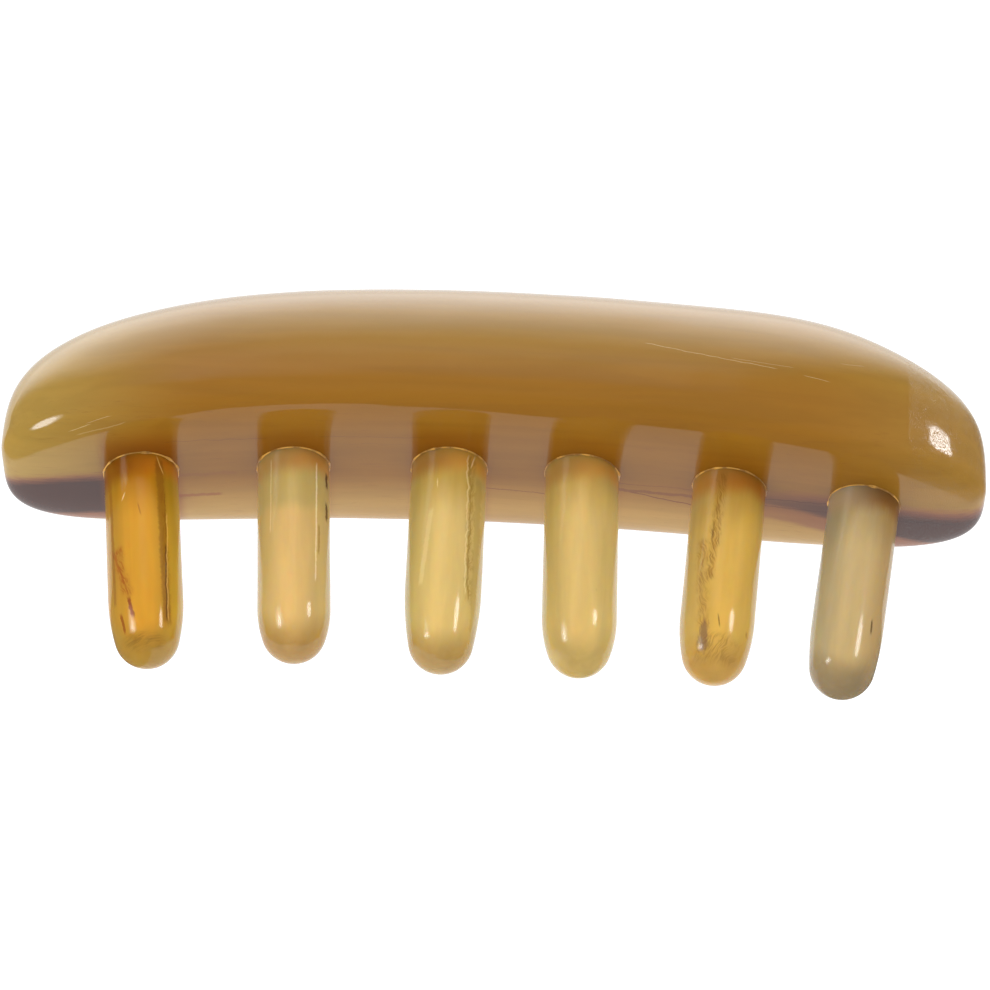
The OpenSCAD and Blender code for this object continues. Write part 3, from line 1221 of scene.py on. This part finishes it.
# Its sides, in mm along X: where the lit part fades in at the left, which moves out by y behind
# the middle, and where it ends at the right, with half the width of that soft edge.
TABLE_LEFT = (-76, -64)
TABLE_RIGHT = 71
TABLE_SOFT = 3.0
# Up to this y in mm the right edge runs straight. Behind that, each mm moves it out and softens it
# by these shares of a mm.
TABLE_TURNS = 45.0
TABLE_WIDENS = 0.5
TABLE_SPREAD = 0.15
# Brightness that the comb mirrors: of the unlit part, what is added where it is lit, and what is
# added besides that far behind the comb. The last starts at a y in mm, and half of it is reached
# this many mm behind that.
TABLE_DIM = 0.2
TABLE_BRIGHT = 0.8
TABLE_BRIGHTER = 1.15
TABLE_NEAR = 50.0
TABLE_FAR = 200.0
TABLE_SUNK = 0.00005  # metres below the comb, so that the two never touch


def mirrored_rays(tree):
    """1 for what the comb mirrors, and 0 for what is seen through it or lights it."""
    path = node(tree, "ShaderNodeLightPath").outputs
    through = minus(tree, 1.0, path["Is Transmission Ray"])
    return times(tree, path["Is Glossy Ray"], through)


def table_material(settings):
    """A white lit table. The comb mirrors it bright behind its front edge, and dim before that."""
    material = bpy.data.materials.new("White table")
    tree = cleared(material)
    glow = wired(tree, "ShaderNodeEmission", TABLE_WHITE, settings.table_light)[0]
    matt = wired(tree, "ShaderNodeBsdfDiffuse", TABLE_GREY)[0]
    seen = wired(tree, "ShaderNodeAddShader", glow, matt)[0]
    position = node(tree, "ShaderNodeNewGeometry").outputs["Position"]
    x, y, _ = parts_of(tree, stretched(tree, position, (1 / MM, 1 / MM, 1 / MM)))
    past = minus(tree, y, ramp_of(tree, x, TABLE_FRONT))
    inside = smooth(tree, past, -TABLE_FRONT_SOFT, TABLE_FRONT_SOFT)
    back = maths(tree, "MAXIMUM", y, 0.0)
    left = smooth(tree, plus(tree, x, back), *TABLE_LEFT)
    beyond = maths(tree, "MAXIMUM", minus(tree, y, TABLE_TURNS), 0.0)
    soft = times_plus(tree, beyond, TABLE_SPREAD, TABLE_SOFT)
    edge = times_plus(tree, beyond, TABLE_WIDENS, TABLE_RIGHT)
    right = smooth(tree, x, plus(tree, edge, soft), minus(tree, edge, soft))
    sides = times(tree, left, right)
    far = minus(tree, maths(tree, "MAXIMUM", y, TABLE_NEAR), TABLE_NEAR)
    share = maths(tree, "DIVIDE", far, plus(tree, far, TABLE_FAR))
    brighter = times_plus(tree, share, TABLE_BRIGHTER, TABLE_BRIGHT)
    lit = times_plus(tree, times(tree, inside, sides), brighter, TABLE_DIM)
    mirrored = wired(tree, "ShaderNodeEmission", TABLE_WHITE, lit)[0]
    shown(tree, mixed(tree, mirrored_rays(tree), seen, mirrored))
    return material


# Brightness of the room by height, as the sine of the elevation and a strength where 1 is white.
BACK_WALL = [
    (-0.28, 1.5), (0.0, 2.2), (0.17, 2.6), (0.31, 2.7), (0.41, 2.6), (0.5, 2.3), (0.57, 2.1),
    (0.64, 1.9), (0.71, 1.6), (0.75, 1.4), (0.8, 1.15), (0.87, 0.75), (0.94, 0.9), (0.97, 0.6),
    (1.0, 0.3),
]
FRONT_WALL = [(-0.28, 0.14), (0.0, 0.2), (0.5, 0.22), (0.87, 0.3), (1.0, 0.3)]
BRIGHTEST = 2.7
FRONT_SHARE = 0.6  # of the room's light, from straight in front
BACK_WALL_TURN = -168  # degrees to the right of straight in front: behind, and a little to the left
BACK_WALL_SIDES = (0.743, 0.934)  # cosines of the turn from its middle: it fades in, and is full


def wall_ramp(tree, height, wall):
    """A wall's brightness at a height, as a grey share of the brightest."""
    made = node(tree, "ShaderNodeValToRGB")
    elements = made.color_ramp.elements
    while len(elements) < len(wall):
        elements.new(0.5)
    for element, (sine, brightness) in zip(elements, wall):
        element.position = (sine + 1) / 2
        element.color = (*(brightness / BRIGHTEST,) * 3, 1)
    plug(tree, made.inputs[0], times_plus(tree, height, 0.5, 0.5))
    return made.outputs[0]


def make_room(settings):
    """White for the camera, even light for the comb, and a bright wall behind for its reflections."""
    world = bpy.data.worlds.new("Studio")
    bpy.context.scene.world = world
    tree = cleared(world)
    way = node(tree, "ShaderNodeTexCoord").outputs["Generated"]
    _, depth, height = parts_of(tree, way)
    level = stretched(tree, way, (1, 1, 0))
    run = wired(tree, "ShaderNodeVectorMath", level, operation="NORMALIZE")[0]
    back = direction(BACK_WALL_TURN, 0)
    facing = wired(tree, "ShaderNodeVectorMath", run, back, operation="DOT_PRODUCT")["Value"]
    behind = smooth(tree, facing, *BACK_WALL_SIDES)
    in_front, at_back = [wall_ramp(tree, height, wall) for wall in (FRONT_WALL, BACK_WALL)]
    room = mix(tree, behind, in_front, at_back)
    mirrored = wired(tree, "ShaderNodeBackground", room, BRIGHTEST)[0]
    full = settings.room_light
    strength = smooth(tree, depth, -1.0, 1.0, full * FRONT_SHARE, full)
    even = node(tree, "ShaderNodeBackground")
    plug(tree, even.inputs["Strength"], strength)
    lit = mixed(tree, mirrored_rays(tree), even.outputs[0], mirrored)
    white = node(tree, "ShaderNodeBackground")
    seen = node(tree, "ShaderNodeLightPath").outputs["Is Camera Ray"]
    shown(tree, mixed(tree, seen, lit, white.outputs[0]), "World")


def direction(azimuth, elevation):
    """Away from the comb, at degrees right of straight in front and degrees up."""
    turn, up = math.radians(azimuth), math.radians(elevation)
    return Vector((math.sin(turn) * math.cos(up), -math.cos(turn) * math.cos(up), math.sin(up)))


class Lamp(NamedTuple):
    """An oval lamp that faces the comb, as bright as a mirror would show it, where 1 is white."""

    name: str
    azimuth: float
    elevation: float
    distance: float
    width: float
    height: float
    roll: float  # degrees, turned about the way that it faces
    brightness: float
    mirrored_by: str = ""  # the pieces that mirror it. Without a name it only lights the comb
    glow: float = 1.0  # how far its soft glow reaches, in sizes of the lamp


LAMPS = [
    Lamp("left lamp", -66, 33, 0.45, 0.14, 0.16, 0, 10),
    Lamp("right lamp", 92, 42, 0.6, 0.19, 0.17, 0, 12),
    Lamp("left lamp on the teeth", -71, 37, 0.45, 0.10, 0.085, 0, 11, "teeth", 2.4),
    Lamp("right lamp on the teeth", 93, 46, 0.6, 0.13, 0.13, 0, 10, "teeth", 1.2),
    Lamp("left lamp on the bar", -50, 24, 0.45, 0.12, 0.32, 32, 12, "bar", 1.4),
    Lamp("right lamp on the bar", 114.0, 37.5, 0.6, 0.125, 0.12, 0, 22, "bar", 1.15),
]
# A mirrored lamp is a core with two glows round it: how far out each reaches, from the core's
# edge to the glow's, and its brightness.
FADES = [(0.0, 0.75), (0.5, 0.32), (1.0, 0.14)]


def receivers(name):
    """The collection of pieces that mirror the lamps of this name."""
    return bpy.data.collections.get(name) or bpy.data.collections.new(name)


def make_lamp(lamp):
    """One lamp for what it lights, or one for the core and each glow of what the comb mirrors."""
    for reach, share in FADES if lamp.mirrored_by else [(0.0, 1.0)]:
        data = bpy.data.lights.new(lamp.name, "AREA")
        data.shape = "ELLIPSE"
        size = 1 + (lamp.glow - 1) * reach
        data.size = lamp.width * size
        data.size_y = lamp.height * size
        data.energy = lamp.brightness * share * math.pi * math.pi * data.size * data.size_y / 4
        piece = bpy.data.objects.new(lamp.name, data)
        away = direction(lamp.azimuth, lamp.elevation)
        piece.location = CAMERA_TARGET + away * lamp.distance
        roll = Matrix.Rotation(math.radians(lamp.roll), 3, "Z")
        piece.rotation_euler = (away.to_track_quat("Z", "Y").to_matrix() @ roll).to_euler()
        piece.visible_camera = False
        if lamp.mirrored_by:
            piece.visible_diffuse = False
            piece.light_linking.receiver_collection = receivers(lamp.mirrored_by)
        else:
            piece.visible_glossy = False
        bpy.context.scene.collection.objects.link(piece)


def make_camera(settings):
    """The camera, from the photo's side and at its distance, and turned a little about its view."""
    data = bpy.data.cameras.new("Camera")
    data.sensor_width = 36
    data.lens = settings.lens
    data.clip_start = 0.01
    camera = bpy.data.objects.new("Camera", data)
    away = direction(math.degrees(settings.azimuth), math.degrees(settings.elevation))
    level = Vector((0, 0, 1)).cross(away).normalized()
    upward = away.cross(level)
    cos, sin = math.cos(settings.roll), math.sin(settings.roll)
    right = level * cos + upward * sin
    top = upward * cos - level * sin
    turn = Matrix((right, top, away)).transposed()
    spot = CAMERA_TARGET + away * settings.distance
    camera.matrix_world = Matrix.Translation(spot) @ turn.to_4x4()
    bpy.context.scene.collection.objects.link(camera)
    bpy.context.scene.camera = camera


class COMB_OT_stage(bpy.types.Operator):
    """Builds the table, the room, the lamps and the camera"""

    bl_idname = "comb.stage"
    bl_label = "Stage"

    def execute(self, context):
        settings = context.scene.comb_stage
        bm = bmesh.new()
        bmesh.ops.create_grid(bm, x_segments=1, y_segments=1, size=TABLE_HALF)
        bmesh.ops.translate(bm, verts=bm.verts, vec=(0, 0, -TABLE_SUNK))
        table = bpy.data.objects.new("table", mesh_from(bm, "table"))
        table.data.materials.append(table_material(settings))
        context.scene.collection.objects.link(table)
        make_room(settings)
        for lamp in LAMPS:
            make_lamp(lamp)
        make_camera(settings)
        context.scene.view_settings.view_transform = "Standard"
        return {"FINISHED"}


class COMB_PT_panel(bpy.types.Panel):
    """Lists the comb's pieces and sizes"""

    bl_label = "Horn massage comb"
    bl_idname = "COMB_PT_panel"
    bl_space_type = "VIEW_3D"
    bl_region_type = "UI"
    bl_category = "Comb"

    def draw(self, context):
        for operator in OPERATORS:
            self.layout.operator(operator.bl_idname)
        for name in SETTINGS:
            settings = getattr(context.scene, name)
            for entry in settings.bl_rna.properties:
                if entry.identifier not in ("name", "rna_type"):
                    self.layout.prop(settings, entry.identifier)


SETTINGS = {"comb_handle": HandleSettings, "comb_teeth": TeethSettings, "comb_stage": StageSettings}
OPERATORS = (COMB_OT_stage, COMB_OT_handle, COMB_OT_teeth, COMB_OT_glue)


def register():
    for kind in (*SETTINGS.values(), *OPERATORS, COMB_PT_panel):
        bpy.utils.register_class(kind)
    for name, kind in SETTINGS.items():
        setattr(bpy.types.Scene, name, bpy.props.PointerProperty(type=kind))


def unregister():
    for name in SETTINGS:
        delattr(bpy.types.Scene, name)
    for kind in (COMB_PT_panel, *reversed(OPERATORS), *reversed(SETTINGS.values())):
        bpy.utils.unregister_class(kind)


def main():
    register()
    bpy.ops.comb.stage()
    bpy.ops.comb.handle()
    bpy.ops.comb.teeth()
    bpy.ops.comb.glue()


if __name__ == "__main__":
    main()
